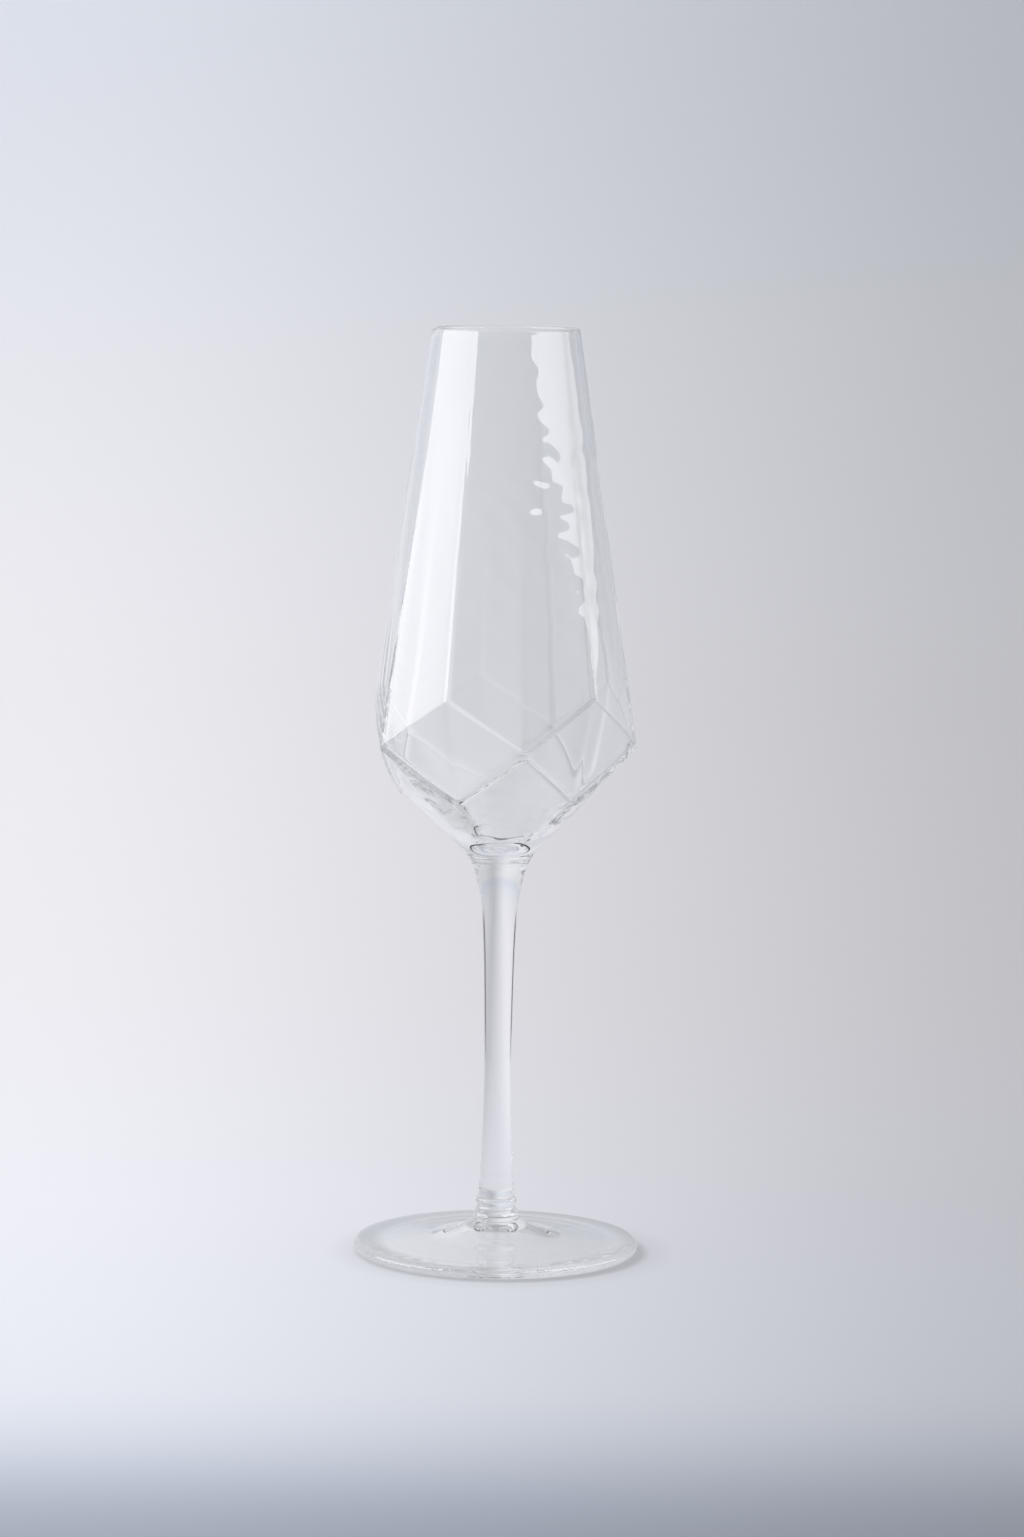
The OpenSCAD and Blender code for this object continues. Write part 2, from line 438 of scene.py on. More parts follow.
def hand_marks(co, sizes, finish, outside):
    """Step outwards at a point of the blown wall: slow flow, short ripples, streaks and the rest."""
    seed = OUTER_SEED if outside else INNER_SEED
    tip_z, rim_z, seam_z = sizes.belt_z + sizes.facet_rise, sizes.glass_h, sizes.bowl_seam_z
    fade = (share_between(co.z, seam_z, seam_z + SEAM_FADE)
            * share_between(co.z, rim_z, rim_z - RIM_FADE))
    free = mix(FACET_CALM, 1.0, share_between(co.z, tip_z, tip_z + CALM_FADE))
    step = finish.flow_depth * slow_wave(co, FLOW_WAVE, seed)
    step += finish.ripple_depth * free * slow_wave(co, RIPPLE_WAVE, seed)
    step += finish.streak_depth * free * slow_wave(co, STREAK_WAVE, seed)
    if outside:
        step += finish.mould_line * mould_lines(co, sizes)
        side = max(0.0, math.cos(azimuth_of(co) - DAPPLED_SIDE))
        band = (share_between(co.z, tip_z + DAPPLE_START[0], tip_z + DAPPLE_START[1])
                * share_between(co.z, rim_z - DAPPLE_END[0], rim_z - DAPPLE_END[1]))
        step += finish.dapple_depth * side * band * slow_wave(co, DAPPLE_WAVE, seed)
    else:
        low = share_between(co.z, seam_z + CHILL_REACH[0], seam_z + CHILL_REACH[1])
        step += finish.chill_depth * low * slow_wave(co, CHILL_WAVE, seed)
    return step * fade


def mould_lines(co, sizes):
    """Height, 0 to 1, of the two fine lines that the halves of the mould leave."""
    azimuth, half = azimuth_of(co), half_facet(sizes)
    height = 0.0
    for line in (-half, math.pi - half):
        away = math.atan2(math.sin(azimuth - line), math.cos(azimuth - line))
        reach = away * co.xy.length / MOULD_LINE_W
        height += math.exp(-reach * reach)
    return height


def bowl_point(row, azimuth, sizes, outer, inner):
    """Place of a point of the bowl's skin, from its row and its angle round the axis."""
    section, t = row
    seam_r = sizes.stem_top_d / 2
    floor_z = sizes.bowl_seam_z + sizes.floor_t
    if section == "seam":
        return at_azimuth(azimuth, seam_r * t, sizes.bowl_seam_z)
    if section == "neck":
        return at_azimuth(azimuth, mix(seam_r, outer.neck_r, t),
                          mix(sizes.bowl_seam_z, outer.neck_z, t))
    if section == "rim":
        turn = math.pi * t
        wall = sizes.rim_wall / 2
        return at_azimuth(azimuth, outer.rim_r - wall * (1 - math.cos(turn)),
                          sizes.glass_h - wall * (1 - math.sin(turn)))
    if section == "well":
        radius = mix(inner.neck_r, FLOOR_R, t)
        return at_azimuth(azimuth, radius, mix(floor_z, inner.neck_z, (1 - t) ** WELL_HOLLOW))
    if section == "floor":
        return at_azimuth(azimuth, FLOOR_R * (1 - t), floor_z)
    side, part = section.split()
    shell = outer if side == "outer" else inner
    q = tip_angle(azimuth, half_facet(sizes))
    return at_azimuth(azimuth, *shell_point(shell, sizes, part, t, q))


# Meshes

def turned(outline, columns):
    """A mesh spun full circle about the axis from (radius, height) points."""
    bm = bmesh.new()
    verts = [bm.verts.new(at_azimuth(0.0, *point)) for point in outline]
    edges = [bm.edges.new(pair) for pair in zip(verts, verts[1:])]
    bmesh.ops.spin(bm, geom=verts + edges, cent=(0, 0, 0), axis=(0, 0, 1),
                   angle=math.tau, steps=columns, use_merge=True)
    return bm


def closed(bm):
    """Closes poles and seams and turns the faces outwards."""
    bmesh.ops.remove_doubles(bm, verts=bm.verts, dist=MERGE_GAP)
    bmesh.ops.dissolve_degenerate(bm, edges=bm.edges, dist=SLIVER_GAP)
    bmesh.ops.recalc_face_normals(bm, faces=bm.faces)
    return bm


def seam_faces(bm, height, reach):
    """Marks the flat face at a hot seam with the second material."""
    for face in bm.faces:
        on_seam = all(abs(v.co.z - height) < SEAM_GAP for v in face.verts)
        if on_seam and face.calc_center_median().xy.length < reach:
            face.material_index = 1
            face.smooth = False


def finished(bm, name, node, scene):
    """Makes the piece from its mesh, dresses it and lets it stand for its node."""
    mesh = bpy.data.meshes.new(name)
    bm.to_mesh(mesh)
    bm.free()
    piece = bpy.data.objects.new(name, mesh)
    scene.collection.objects.link(piece)
    mesh.materials.append(clear_glass(scene.glass_finish))
    mesh.materials.append(seam_with_painted_shade())
    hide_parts(node)
    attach(piece, BODY)
    return piece


def smooth_all(bm):
    for face in bm.faces:
        face.smooth = True


# Materials

# Fine unevenness of the fire-polished skin: waves to a metre on each axis, strength and depth
SKIN_SCALE = (220.0, 220.0, 60.0)
SKIN_DETAIL = 2.0
SKIN_STRENGTH = 0.006
SKIN_DEPTH = 0.4 * MM
# Painted shade at the bowl's joint, a fine dark ring on the hidden seam faces of clear glass: its tone,
# reach and share of cover out from the axis
JOINT_SHADE_TONE = (0.05, 0.05, 0.055, 1.0)
JOINT_SHADE_REACH = 8.8 * MM
JOINT_SHADE_COVER = [(0.0, 0.0), (0.9, 0.0), (0.97, 0.75), (1.0, 0.75)]
# Height that parts the bowl's joint from the one on the foot
JOINT_ABOVE = 60 * MM
# Brightest tone that a ramp can hold
RAMP_TOP = 2.0


def wire(tree, socket, value):
    """Links a socket to another one, or sets it to a plain value."""
    if isinstance(value, bpy.types.NodeSocket):
        tree.links.new(value, socket)
    else:
        socket.default_value = value


def math_node(tree, kind, *values):
    node = tree.nodes.new("ShaderNodeMath")
    node.operation = kind
    for socket, value in zip(node.inputs, values):
        wire(tree, socket, value)
    return node.outputs[0]


def vector_node(tree, kind, *values):
    node = tree.nodes.new("ShaderNodeVectorMath")
    node.operation = kind
    for socket, value in zip(node.inputs, values):
        wire(tree, socket, value)
    single = kind in ("LENGTH", "DISTANCE", "DOT_PRODUCT")
    return node.outputs["Value" if single else "Vector"]


def share_node(tree, value, low, high, ends=(0.0, 1.0), kind="LINEAR"):
    """The first of the ends at low, the second at high, held at these beyond."""
    node = tree.nodes.new("ShaderNodeMapRange")
    node.interpolation_type = kind
    for name, entry in zip(("Value", "From Min", "From Max", "To Min", "To Max"),
                           (value, low, high, *ends)):
        wire(tree, node.inputs[name], entry)
    return node.outputs["Result"]


def ramp(tree, factor, stops, kind="LINEAR"):
    """Tones that run through (place, tone) stops, a tone being a number or a colour."""
    low, high = stops[0][0], stops[-1][0]
    node = tree.nodes.new("ShaderNodeValToRGB")
    node.color_ramp.interpolation = kind
    elements = node.color_ramp.elements
    while len(elements) < len(stops):
        elements.new(0.5)
    for element, (place, tone) in zip(elements, stops):
        element.position = (place - low) / (high - low)
        colour = tone if isinstance(tone, tuple) else (tone, tone, tone)
        element.color = (*(part / RAMP_TOP for part in colour), 1.0)
    wire(tree, node.inputs["Fac"], share_node(tree, factor, low, high))
    return vector_node(tree, "MULTIPLY", node.outputs["Color"], (RAMP_TOP, RAMP_TOP, RAMP_TOP))


def bare_material(name):
    """A new material with an empty node tree."""
    mat = bpy.data.materials.new(name)
    mat.use_nodes = True
    mat.node_tree.nodes.clear()
    return mat


def object_place(tree):
    return tree.nodes.new("ShaderNodeTexCoord").outputs["Object"]


def glow_shader(tree, colour, strength):
    node = tree.nodes.new("ShaderNodeEmission")
    wire(tree, node.inputs["Color"], colour)
    wire(tree, node.inputs["Strength"], strength)
    return node.outputs[0]


def matt_shader(tree, colour):
    node = tree.nodes.new("ShaderNodeBsdfDiffuse")
    wire(tree, node.inputs["Color"], colour)
    return node.outputs[0]


def mix_shader(tree, share, first, second):
    node = tree.nodes.new("ShaderNodeMixShader")
    for socket, value in zip(node.inputs, (share, first, second)):
        wire(tree, socket, value)
    return node.outputs[0]


def surface(tree, shader):
    out = tree.nodes.new("ShaderNodeOutputMaterial")
    wire(tree, out.inputs["Surface"], shader)


def clear_glass(finish):
    """Clear colourless glass with a faint unevenness of its fire-polished skin."""
    mat = bpy.data.materials.get("blown_glass")
    if mat:
        return mat
    mat = bpy.data.materials.new("blown_glass")
    mat.use_nodes = True
    tree = mat.node_tree
    shader = tree.nodes["Principled BSDF"]
    shader.inputs["Base Color"].default_value = (*finish.tint, 1.0)
    shader.inputs["IOR"].default_value = finish.refraction
    shader.inputs["Transmission Weight"].default_value = 1.0
    shader.inputs["Roughness"].default_value = 0.0
    stretch = tree.nodes.new("ShaderNodeMapping")
    stretch.inputs["Scale"].default_value = SKIN_SCALE
    wire(tree, stretch.inputs["Vector"], object_place(tree))
    skin = tree.nodes.new("ShaderNodeTexNoise")
    skin.inputs["Scale"].default_value = 1.0
    skin.inputs["Detail"].default_value = SKIN_DETAIL
    wire(tree, skin.inputs["Vector"], stretch.outputs["Vector"])
    bump = tree.nodes.new("ShaderNodeBump")
    bump.inputs["Strength"].default_value = SKIN_STRENGTH
    bump.inputs["Distance"].default_value = SKIN_DEPTH
    wire(tree, bump.inputs["Height"], skin.outputs["Fac"])
    wire(tree, shader.inputs["Normal"], bump.outputs["Normal"])
    return mat


def seam_with_painted_shade():
    """The hidden faces where two pieces have flowed together: light passes on, but for painted shade, a
    fine dark ring round the bowl's joint that stands in for the dark line the glass's bending of light
    draws there."""
    mat = bpy.data.materials.get("seam_with_painted_shade")
    if mat:
        return mat
    mat = bpy.data.materials.new("seam_with_painted_shade")
    mat.use_nodes = True
    tree = mat.node_tree
    shader = tree.nodes["Principled BSDF"]
    shader.inputs["Base Color"].default_value = JOINT_SHADE_TONE
    shader.inputs["Roughness"].default_value = 1.0
    shader.inputs["Specular IOR Level"].default_value = 0.0
    place = object_place(tree)
    flat = vector_node(tree, "MULTIPLY", place, (1.0, 1.0, 0.0))
    outwards = share_node(tree, vector_node(tree, "LENGTH", flat), 0.0, JOINT_SHADE_REACH)
    split = tree.nodes.new("ShaderNodeSeparateXYZ")
    wire(tree, split.inputs["Vector"], place)
    high = math_node(tree, "GREATER_THAN", split.outputs["Z"], JOINT_ABOVE)
    # painted shade: a dark ring near the outer edge of the bowl's seam face
    shade_cover = math_node(tree, "MULTIPLY", ramp(tree, outwards, JOINT_SHADE_COVER), high)
    wire(tree, shader.inputs["Alpha"], shade_cover)
    return mat


# Operators

class MakeBowl(bpy.types.Operator):
    """Blow the bowl with its belt of diamond facets"""

    bl_idname = "champagne_glass.make_bowl"
    bl_label = "Make Bowl"

    def execute(self, context):
        sizes = context.scene.glass_sizes
        finish = context.scene.glass_finish
        rows = bowl_rows()
        outer, inner = outer_shell(sizes), inner_shell(sizes)
        columns = 2 * sizes.facet_count * HALF_FACET_COLUMNS
        bm = turned([(1.0, row) for row in range(len(rows))], columns)
        outside, inside, flowing, crisp = [], [], [], set()
        for vert in bm.verts:
            row = rows[round(vert.co.z)]
            vert.co = bowl_point(row, azimuth_of(vert.co), sizes, outer, inner)
            if row in CRISP_ROWS:
                crisp.add(vert)
            if row[0].startswith("outer"):
                outside.append(vert)
            elif row[0].startswith("inner") or row[0] == "well":
                inside.append(vert)
            if flows_round(row):
                flowing.append(vert)
        for _ in range(INNER_FLOW):
            bmesh.ops.smooth_vert(bm, verts=flowing, factor=INNER_FLOW_STEP, use_axis_x=True,
                                  use_axis_y=True, use_axis_z=True)
        closed(bm)
        bm.normal_update()
        for vert in outside:
            vert.co += vert.normal * hand_marks(vert.co, sizes, finish, True)
        for vert in inside:
            vert.co -= vert.normal * hand_marks(vert.co, sizes, finish, False)
        smooth_all(bm)
        for edge in bm.edges:
            edge.smooth = not crisp.issuperset(edge.verts)
        seam_faces(bm, sizes.bowl_seam_z, sizes.stem_top_d)
        finished(bm, "glass_bowl", "bowl", context.scene)
        return {"FINISHED"}


# Middle control points of the stem's two curves, each (step out from the waist, share of the way
# from the waist to the seam)
TRUMPET_BEND = ((0.65 * MM, 0.72), (0.74 * MM, 0.87))
SWELL_BEND = ((0.0, 0.16), (0.19 * MM, 0.59))


def stem_curve(sizes, bend, seam_d, seam_z):
    """Outline of the stem from its waist to a seam."""
    waist_r, waist_z = sizes.waist_d / 2, sizes.waist_z
    middle = [(waist_r + out, mix(waist_z, seam_z, share)) for out, share in bend]
    return curve([(waist_r, waist_z), *middle, (seam_d / 2, seam_z)])


class MakeStem(bpy.types.Operator):
    """Draw the stem between the two hot seams"""

    bl_idname = "champagne_glass.make_stem"
    bl_label = "Make Stem"

    def execute(self, context):
        sizes = context.scene.glass_sizes
        top_r, top_z = sizes.stem_top_d / 2, sizes.bowl_seam_z
        low_r, low_z = sizes.stem_foot_d / 2, sizes.foot_seam_z
        trumpet = stem_curve(sizes, TRUMPET_BEND, sizes.stem_top_d, top_z)
        swell = stem_curve(sizes, SWELL_BEND, sizes.stem_foot_d, low_z)
        outline = straight((0, top_z), (top_r, top_z), SEAM_ROWS)[:-1]
        outline += trumpet[::-1] + swell[1:]
        outline += straight((low_r, low_z), (0, low_z), SEAM_ROWS)[1:]
        bm = closed(turned(outline, TURNED_COLUMNS))
        smooth_all(bm)
        seam_faces(bm, top_z, top_r)
        seam_faces(bm, low_z, low_r)
        finished(bm, "glass_stem", "stem", context.scene)
        return {"FINISHED"}


# Control points of the boss, each (share of its spread, share of its height above the skirt's end):
# a bead under the seam, the side below a groove, and the crease at its foot
BEAD_BEND = ((0.0, 1.0), (0.57, 0.99), (0.45, 0.86), (0.16, 0.79))
SIDE_BEND = ((0.16, 0.79), (0.14, 0.69), (1.15, 0.63), (1.0, 0.43))
CREASE_BEND = ((1.0, 0.43), (0.98, 0.395), (1.2, 0.38), (1.8, 0.35))
# The same for the skirt, each (share of the way out from the crease, share of the height)
SKIRT_BEND = ((0.0, 0.35), (0.2, 0.25), (0.55, 0.04), (1.0, 0.0))
# And for the dome of the hollow, each (share of its radius, share of its rise)
DOME_BEND = ((1.0, 0.0), (0.7, 0.75), (0.4, 1.0), (0.0, 1.0))
DOME_RISE = 1 * MM
SKIRT_SHARE = 0.46
SKIRT_RISE = 1.1 * MM
FOOT_WAVE = (9 * MM, 9 * MM, 2.9)
FOOT_WAVE_FADE = 0.1


class MakeFoot(bpy.types.Operator):
    """Press the round foot with its boss and hollow"""

    bl_idname = "champagne_glass.make_foot"
    bl_label = "Make Foot"

    def execute(self, context):
        sizes = context.scene.glass_sizes
        edge_r, low_r = sizes.foot_edge_t / 2, sizes.stem_foot_d / 2
        disc_r, seam_z = sizes.foot_d / 2 - edge_r, sizes.foot_seam_z
        hollow_r = disc_r - sizes.rest_ring_w
        skirt_r, skirt_z = SKIRT_SHARE * sizes.foot_d / 2, sizes.foot_edge_t + SKIRT_RISE
        crease_r = low_r + CREASE_BEND[-1][0] * sizes.boss_spread

        def boss_curve(bend):
            return curve([(low_r + out * sizes.boss_spread, mix(skirt_z, seam_z, up))
                          for out, up in bend])

        skirt = curve([(mix(crease_r, skirt_r, out), mix(skirt_z, seam_z, up))
                       for out, up in SKIRT_BEND])
        hollow = [point - Vector((0, sizes.foot_wall)) for point in reversed(skirt)]
        dome_z = hollow[-1].y
        dome = curve([(share * crease_r, dome_z + up * DOME_RISE) for share, up in DOME_BEND])
        outline = straight((0, seam_z), (low_r, seam_z), SEAM_ROWS)[:-1]
        outline += boss_curve(BEAD_BEND) + boss_curve(SIDE_BEND)[1:] + boss_curve(CREASE_BEND)[1:]
        outline += skirt[1:]
        outline += straight((skirt_r, skirt_z), (disc_r, sizes.foot_edge_t), FOOT_TOP_ROWS)[1:-1]
        outline += arc((disc_r, edge_r), edge_r, 90, -90)
        outline += straight((hollow_r, 0), hollow[0], FOOT_HOLLOW_ROWS) + hollow[1:] + dome[1:]
        bm = closed(turned(outline, TURNED_COLUMNS))
        self.waves(bm, crease_r, disc_r, edge_r, context.scene.glass_finish.foot_flow)
        smooth_all(bm)
        seam_faces(bm, seam_z, low_r)
        finished(bm, "glass_foot", "foot", context.scene)
        return {"FINISHED"}

    def waves(self, bm, crease_r, disc_r, above, depth):
        """Slow waves over the top of the foot, which fade out at the boss and at the edge."""
        for vert in bm.verts:
            over = (vert.co.xy.length - crease_r) / (disc_r - crease_r)
            if 0 < over < 1 and vert.co.z > above:
                fade = min(1.0, over / FOOT_WAVE_FADE, (1 - over) / FOOT_WAVE_FADE)
                vert.co.z += depth * fade * slow_wave(vert.co, FOOT_WAVE)


# The stage

AIR_TONE = (0.66, 0.67, 0.7, 1.0)
PAPER = (0.75, 0.76, 0.79, 1.0)
# Share of the sweep's tone that the lamps give, the rest being painted light, a soft glow of its own
LIT_SHARE = 0.4
# Painted light and shade of the sweep, lighter to the left and darker to the right: tones by its slope
# from the set camera, sideways and upwards
NEAREST_DEPTH = 0.35
SIDEWAYS_TONES = [
    (-0.8, 1.0), (-0.4, 1.05), (-0.2, 1.18), (-0.1, 1.2), (-0.05, 1.1), (0.0, 0.935), (0.05, 0.79),
    (0.1, 0.635), (0.14, 0.585), (0.3, 0.8), (0.8, 0.85)]
UPWARD_TONES = [
    (-0.3, (0.88, 0.93, 1.02)), (-0.26, (0.93, 0.96, 1.03)), (-0.225, (0.995, 1.015, 1.1)),
    (-0.195, (1.025, 1.012, 1.085)), (-0.16, (0.995, 0.984, 1.02)), (-0.1, (0.99, 0.98, 1.02)),
    (-0.03, (0.92, 0.925, 0.98)), (0.035, (0.75, 0.8, 0.9)), (0.08, (0.95, 0.95, 0.96)),
    (0.3, 1.0), (0.6, 1.0)]
# Painted shade of the floor in front, darker towards the camera: tones by metres towards the camera; the
# line of equal tone slants a little, and bends back beyond the middle strip
FRONT_TONES = [
    (0.0, 1.0), (0.15, 1.0), (0.2, (0.84, 0.86, 0.91)), (0.25, (0.45, 0.49, 0.56)),
    (0.31, (0.27, 0.3, 0.34)), (0.42, (0.36, 0.37, 0.4)), (0.6, 0.46), (1.3, 0.5), (2.4, 0.5)]
FRONT_SLANT = 0.05
FRONT_STRIP = 0.3
FRONT_BEND = 2.0
# Dark bands of the floor by degrees round the glass, which draw the thin lines at the stem's edges;
# only the glass sees them, from this far out and up to this height
FLOOR_BANDS = [
    (-180.0, 1.0), (-126.0, 1.0), (-124.0, 0.05), (-112.0, 0.05), (-110.0, 1.0), (111.0, 1.0),
    (117.0, 0.3), (129.0, 0.35), (136.0, 1.0), (180.0, 1.0)]
BANDS_FROM = (0.28, 0.42)
BANDS_BELOW = (0.1, 0.0)
# Shade under the foot's edge, by metres from a point beside the axis
CONTACT_SHADE = [
    (0.0, 1.0), (0.03, 1.0), (0.0335, 0.66), (0.0365, 0.64), (0.039, 0.92), (0.046, 1.0), (0.06, 1.0)]
CONTACT_SHIFT = (1.5 * MM, 0.0, 0.0)

# Dark boards overhead, each turned from the camera's side, with its reach from the axis
Flag = namedtuple("Flag", "name turn reach radius")
FLAG_Z = 1.6
FLAG_TONE = 0.08
FLAG_CORE = 0.5
FLAG_SIDES = 64
FLAGS = (Flag("front_flag", 0.0, 0.95, 1.0), Flag("back_flag", math.pi, 1.1, 0.42))

# Soft panels, each turned from the camera's side; tones at its left and right end seen from behind
Softbox = namedtuple("Softbox", "name turn distance size height tones roll")
SOFTBOXES = (
    Softbox("left_softbox", math.radians(-78), 1.6, (2.24, 0.76), 0.39, (2.0, 3.2), math.radians(-10)),
    Softbox("right_softbox", math.radians(77), 1.6, (3.1, 0.36), 0.6, (3.4, 1.3), math.radians(14.6)))
# How strongly a soft panel lights the sweep, and how strongly it shows in reflections
PANEL_LIGHT = 0.5
PANEL_GLEAM = 1.85

# The round sweep: floor just under the glass, wall, and the cove between them
SWEEP_Z = -0.3 * MM
SWEEP_R = 2.3
COVE_R = 0.9
WALL_H = 2.6
SWEEP_ROWS = 24
SWEEP_COLUMNS = 96
SENSOR_W = 36.0


def sweep_tone(tree, split, place, studio):
    """Painted light and shade of the sweep in the camera's turned axes, as the camera sees them, with a
    painted shadow under the foot's edge.
    """
    x, y, z = (split.outputs[name] for name in "XYZ")
    depth = math_node(tree, "MAXIMUM", math_node(tree, "ADD", y, studio.distance), NEAREST_DEPTH)
    across = math_node(tree, "DIVIDE", x, depth)
    up = math_node(tree, "DIVIDE", math_node(tree, "SUBTRACT", z, studio.height), depth)
    beside = math_node(tree, "SUBTRACT", math_node(tree, "ABSOLUTE", x), FRONT_STRIP)
    spread = math_node(tree, "MULTIPLY_ADD", math_node(tree, "MAXIMUM", beside, 0.0), FRONT_BEND, 1.0)
    near = math_node(tree, "MULTIPLY_ADD", x, FRONT_SLANT, math_node(tree, "MULTIPLY", y, -1.0))
    ahead = math_node(tree, "DIVIDE", near, spread)
    aside = vector_node(tree, "DISTANCE", place, CONTACT_SHIFT)
    tone = vector_node(tree, "MULTIPLY", ramp(tree, across, SIDEWAYS_TONES, "B_SPLINE"),
                       ramp(tree, up, UPWARD_TONES, "B_SPLINE"))
    tone = vector_node(tree, "MULTIPLY", tone, ramp(tree, ahead, FRONT_TONES, "B_SPLINE"))
    # painted shadow: the sweep darkens in a ring under the foot's edge, shifted a little to one side
    return vector_node(tree, "MULTIPLY", tone, ramp(tree, aside, CONTACT_SHADE))


def floor_bands(tree, split, place, path):
    """Dark bands of the floor, 1 where there is none."""
    toward = math_node(tree, "MULTIPLY", split.outputs["Y"], -1.0)
    azimuth = math_node(tree, "ARCTAN2", split.outputs["X"], toward)
    bands = ramp(tree, math_node(tree, "DEGREES", azimuth), FLOOR_BANDS)
    far = share_node(tree, vector_node(tree, "LENGTH", place), *BANDS_FROM)
    low = share_node(tree, split.outputs["Z"], *BANDS_BELOW)
    unseen = math_node(tree, "SUBTRACT", 1.0, path.outputs["Is Camera Ray"])
    node = tree.nodes.new("ShaderNodeMix")
    node.data_type = "RGBA"
    share = math_node(tree, "MULTIPLY", math_node(tree, "MULTIPLY", far, low), unseen)
    wire(tree, node.inputs["Factor"], share)
    wire(tree, node.inputs["A"], (1.0, 1.0, 1.0, 1.0))
    wire(tree, node.inputs["B"], bands)
    return node.outputs["Result"]


def studio_paint(studio):
    """Pale sweep: painted light and shade by angle from the set camera's place, glowing in part, with a
    real shadow from the lamps on its lit share and a painted shadow under the foot's edge.
    """
    mat = bare_material("studio_sweep")
    tree = mat.node_tree
    turn = tree.nodes.new("ShaderNodeMapping")
    turn.inputs["Rotation"].default_value[2] = -studio.azimuth
    wire(tree, turn.inputs["Vector"], object_place(tree))
    place = turn.outputs["Vector"]
    split = tree.nodes.new("ShaderNodeSeparateXYZ")
    wire(tree, split.inputs["Vector"], place)
    path = tree.nodes.new("ShaderNodeLightPath")
    bands = floor_bands(tree, split, place, path)
    # painted light and shade: the glowing share of the sweep carries these painted tones
    tone = vector_node(tree, "MULTIPLY", sweep_tone(tree, split, place, studio), bands)
    lit = matt_shader(tree, vector_node(tree, "MULTIPLY", bands, PAPER[:3]))
    shade = mix_shader(tree, LIT_SHARE, glow_shader(tree, tone, 1.0), lit)
    seen = math_node(tree, "MAXIMUM", path.outputs["Is Camera Ray"],
                     math_node(tree, "MAXIMUM", path.outputs["Is Glossy Ray"],
                               path.outputs["Is Transmission Ray"]))
    surface(tree, mix_shader(tree, seen, matt_shader(tree, PAPER), shade))
    return mat


def flag_paint(name, centre, radius):
    """Black in the middle of the board, fading to the tone of the air at its edge."""
    mat = bare_material(name)
    tree = mat.node_tree
    away = vector_node(tree, "DISTANCE", object_place(tree), centre)
    fade = share_node(tree, away, FLAG_CORE * radius, radius, (FLAG_TONE, 1.0), "SMOOTHSTEP")
    surface(tree, glow_shader(tree, AIR_TONE, fade))
    return mat


def panel_paint(name, centre, along, half_w, tones):
    """Glow of a soft panel, whose brightness runs from one short side to the other; 1 is white."""
    mat = bare_material(name)
    tree = mat.node_tree
    step = vector_node(tree, "SUBTRACT", object_place(tree), centre)
    tone = share_node(tree, vector_node(tree, "DOT_PRODUCT", step, along), -half_w, half_w, tones)
    path = tree.nodes.new("ShaderNodeLightPath")
    gleam = share_node(tree, path.outputs["Is Glossy Ray"], 0.0, 1.0, (PANEL_LIGHT, PANEL_GLEAM))
    white = (1.0, 1.0, 1.0, 1.0)
    surface(tree, glow_shader(tree, white, math_node(tree, "MULTIPLY", tone, gleam)))
    return mat


def stage_object(bm, name, paint, scene):
    """Makes a piece of the stage from its mesh and its paint."""
    mesh = bpy.data.meshes.new(name)
    bm.to_mesh(mesh)
    bm.free()
    mesh.materials.append(paint)
    piece = bpy.data.objects.new(name, mesh)
    scene.collection.objects.link(piece)
    return piece


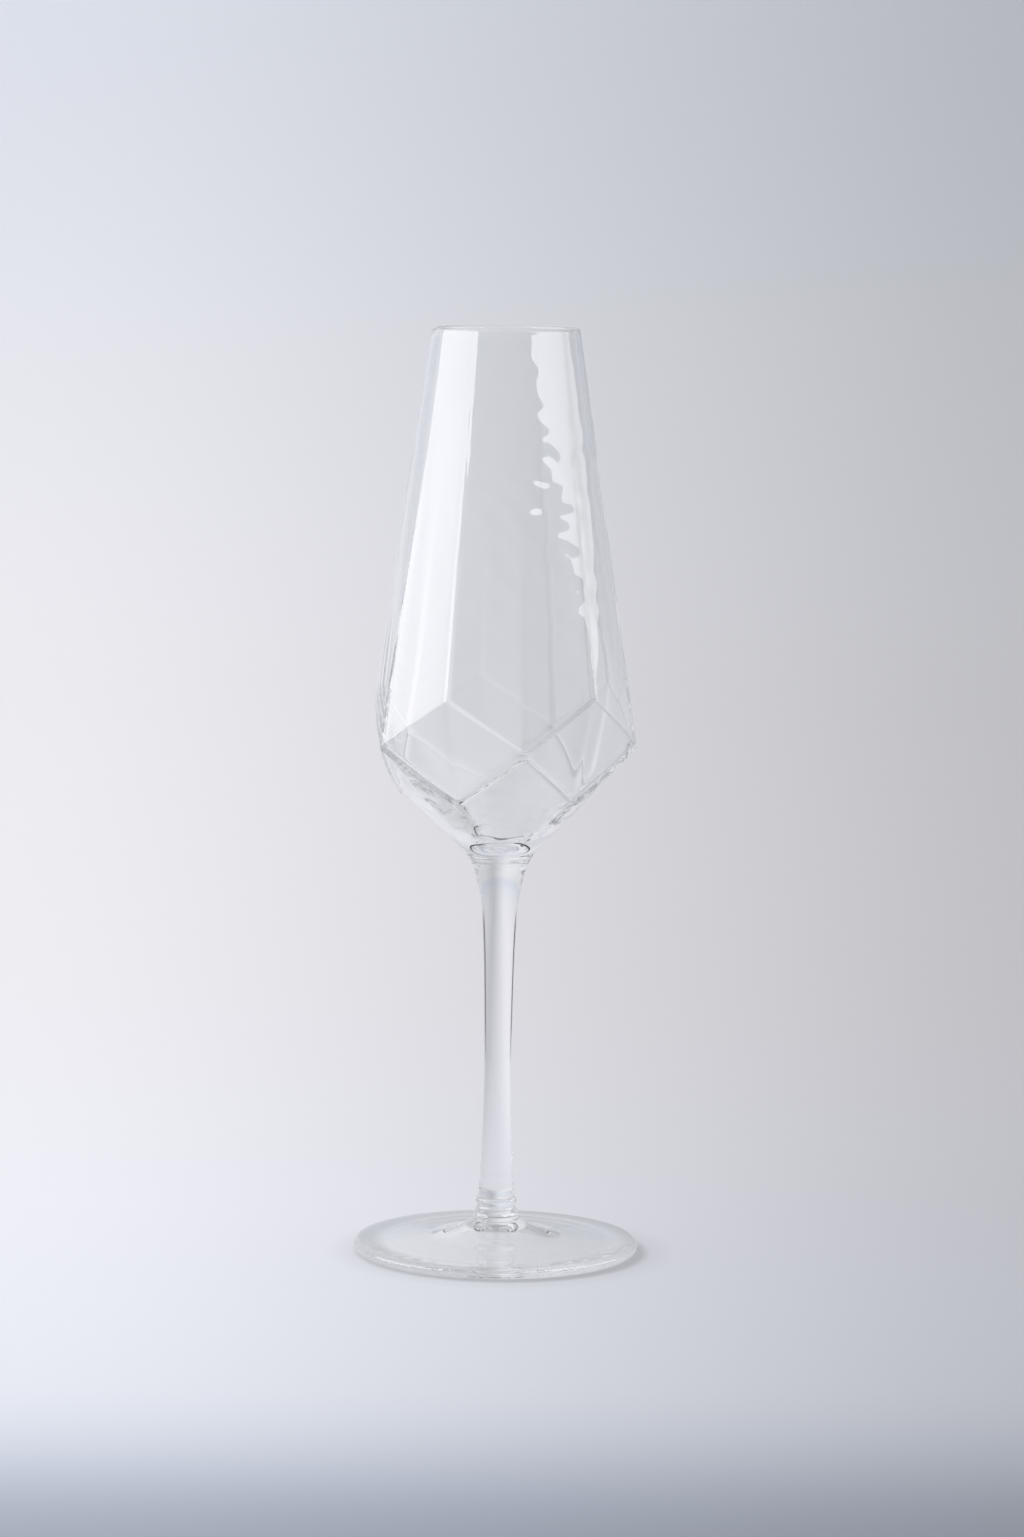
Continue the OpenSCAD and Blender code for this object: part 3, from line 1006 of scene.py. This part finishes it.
class SetStage(bpy.types.Operator):
    """Set the pale sweep, the soft lamps and the camera"""

    bl_idname = "champagne_glass.set_stage"
    bl_label = "Set Stage"

    def execute(self, context):
        scene = context.scene
        studio = scene.studio_settings
        self.sweep(scene, studio)
        for box in SOFTBOXES:
            self.softbox(scene, studio, box)
        for flag in FLAGS:
            self.flag(scene, studio, flag)
        self.air(scene)
        self.camera(scene, studio)
        scene.view_settings.view_transform = "Standard"
        self.light_paths(scene.cycles)
        return {"FINISHED"}

    def light_paths(self, cycles):
        cycles.max_bounces = LIGHT_BOUNCES
        cycles.glossy_bounces = LIGHT_BOUNCES
        cycles.transmission_bounces = LIGHT_BOUNCES
        cycles.transparent_max_bounces = LIGHT_BOUNCES

    def sweep(self, scene, studio):
        """A round floor and wall of one pale sheet, with its faces turned to the glass."""
        outline = straight((0, SWEEP_Z), (SWEEP_R - COVE_R, SWEEP_Z), SWEEP_ROWS)
        outline += arc((SWEEP_R - COVE_R, SWEEP_Z + COVE_R), COVE_R, -90, 0)[1:]
        outline += [Vector((SWEEP_R, WALL_H))]
        bm = turned(outline, SWEEP_COLUMNS)
        bmesh.ops.remove_doubles(bm, verts=bm.verts, dist=SWEEP_GAP)
        bmesh.ops.recalc_face_normals(bm, faces=bm.faces)
        bmesh.ops.reverse_faces(bm, faces=bm.faces)
        smooth_all(bm)
        stage_object(bm, "studio_sweep", studio_paint(studio), scene)

    def softbox(self, scene, studio, box):
        """A wide soft panel facing the glass, which shows in reflections and lights the sweep."""
        azimuth = studio.azimuth + box.turn
        centre = at_azimuth(azimuth, box.distance, box.height)
        facing = at_azimuth(azimuth, 1.0, 0.0).to_track_quat("-Z", "Y").to_matrix().to_4x4()
        turn = Matrix.Translation(centre) @ facing @ Matrix.Rotation(box.roll, 4, "Z")
        bm = bmesh.new()
        bmesh.ops.create_grid(bm, x_segments=1, y_segments=1, size=0.5)
        bmesh.ops.transform(bm, matrix=turn @ Matrix.Diagonal((*box.size, 1.0, 1.0)), verts=bm.verts)
        along = turn.to_3x3() @ Vector((-1.0, 0.0, 0.0))
        paint = panel_paint(box.name, centre, along, box.size[0] / 2, box.tones)
        panel = stage_object(bm, box.name, paint, scene)
        panel.visible_camera = False
        panel.visible_transmission = False

    def flag(self, scene, studio, flag):
        """A dark round board overhead, which draws thin dark lines at the hot seams."""
        centre = at_azimuth(studio.azimuth + flag.turn, flag.reach, FLAG_Z)
        bm = bmesh.new()
        bmesh.ops.create_circle(bm, cap_ends=True, radius=flag.radius, segments=FLAG_SIDES)
        bmesh.ops.translate(bm, vec=centre, verts=bm.verts)
        stage_object(bm, flag.name, flag_paint(flag.name, centre, flag.radius), scene)

    def air(self, scene):
        world = bpy.data.worlds.new("studio_air")
        world.use_nodes = True
        world.node_tree.nodes["Background"].inputs["Color"].default_value = AIR_TONE
        world.node_tree.nodes["Background"].inputs["Strength"].default_value = 1.0
        scene.world = world

    def camera(self, scene, studio):
        lens = bpy.data.cameras.new("photo_camera")
        lens.sensor_width = SENSOR_W
        lens.lens = studio.focal_px / max(IMAGE_W, IMAGE_H) * lens.sensor_width
        camera = bpy.data.objects.new("photo_camera", lens)
        turn = Matrix.Rotation(studio.azimuth, 4, "Z")
        place = Matrix.Translation((studio.side_step, -studio.distance, studio.height))
        tilt = Matrix.Rotation(math.pi / 2 - studio.pitch, 4, "X")
        roll = Matrix.Rotation(studio.roll, 4, "Z")
        camera.matrix_world = turn @ place @ tilt @ roll
        scene.collection.objects.link(camera)
        scene.camera = camera


class GlassPanel(bpy.types.Panel):
    """Buttons and sizes of the champagne glass"""

    bl_idname = "VIEW3D_PT_champagne_glass"
    bl_label = "Champagne Glass"
    bl_space_type = "VIEW_3D"
    bl_region_type = "UI"
    bl_category = "Glass"

    def draw(self, context):
        layout = self.layout
        for operator in (MakeBowl, MakeStem, MakeFoot, SetStage):
            layout.operator(operator.bl_idname)
        for group in (context.scene.glass_sizes, context.scene.glass_finish,
                      context.scene.studio_settings):
            for name in group.__annotations__:
                layout.prop(group, name)


CLASSES = (GlassSizes, GlassFinish, StudioSettings, MakeBowl, MakeStem, MakeFoot, SetStage,
           GlassPanel)


def register():
    for cls in CLASSES:
        bpy.utils.register_class(cls)
    bpy.types.Scene.glass_sizes = PointerProperty(type=GlassSizes)
    bpy.types.Scene.glass_finish = PointerProperty(type=GlassFinish)
    bpy.types.Scene.studio_settings = PointerProperty(type=StudioSettings)


def unregister():
    del bpy.types.Scene.studio_settings
    del bpy.types.Scene.glass_finish
    del bpy.types.Scene.glass_sizes
    for cls in reversed(CLASSES):
        bpy.utils.unregister_class(cls)


def main():
    register()
    bpy.ops.champagne_glass.make_bowl()
    bpy.ops.champagne_glass.make_stem()
    bpy.ops.champagne_glass.make_foot()
    bpy.ops.champagne_glass.set_stage()


if __name__ == "__main__":
    main()
